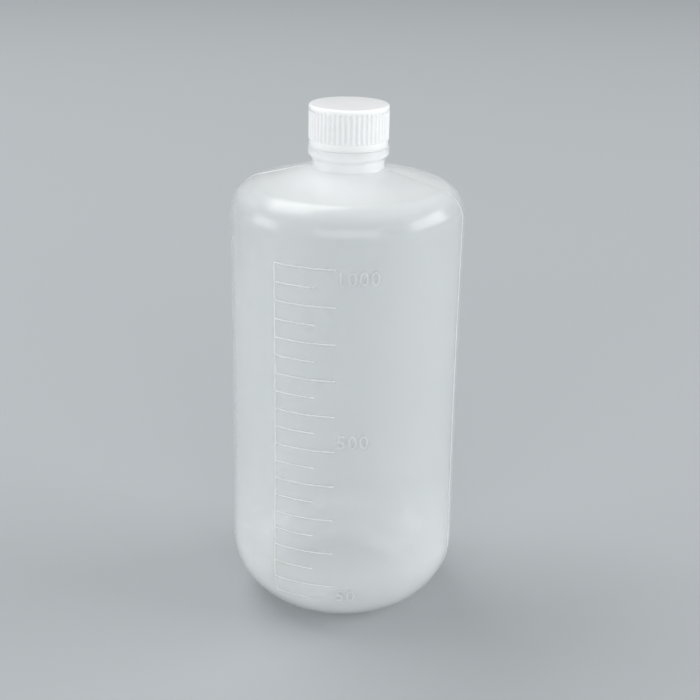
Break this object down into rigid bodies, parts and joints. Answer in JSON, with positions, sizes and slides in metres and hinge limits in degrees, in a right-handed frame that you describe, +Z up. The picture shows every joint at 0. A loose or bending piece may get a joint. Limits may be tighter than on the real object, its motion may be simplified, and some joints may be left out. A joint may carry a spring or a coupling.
{
  "type": "narrow-mouth media bottle",
  "caption": "Round blow-moulded one-litre media bottle with a narrow threaded neck, a raised volume scale and a ribbed screw cap.",
  "frame": {"origin": "centre of the standing ring, on the surface that the bottle stands on", "axes": "+Z up along the bottle's axis; the mould halves meet in the XZ plane and the scale faces -Y"},
  "size_m": [0.0948, 0.0947, 0.212],
  "materials": {
    "natural_polypropylene": "satin, milky and see-through",
    "cap_polypropylene": "satin, milky white",
    "liner_foam": "plain white"
  },
  "bodies": {
    "bottle": {"bottle": "natural_polypropylene"},
    "liner": {"liner": "liner_foam"},
    "cap": {"cap": "cap_polypropylene"}
  },
  "joints": [
    {"name": "liner_lift", "type": "slide", "parent": "bottle", "child": "liner", "axis": [0, 0, 1], "range_m": [0, 0.016]},
    {"name": "cap_turn", "type": "hinge", "parent": "liner", "child": "cap", "pos_m": [0, 0, 0.2091], "axis": [0, 0, 1], "range_deg": [0, 1440]}
  ],
  "couplings": [
    {"joint": "liner_lift", "follows": "cap_turn", "m_per_rad": 0.00063662}
  ]
}
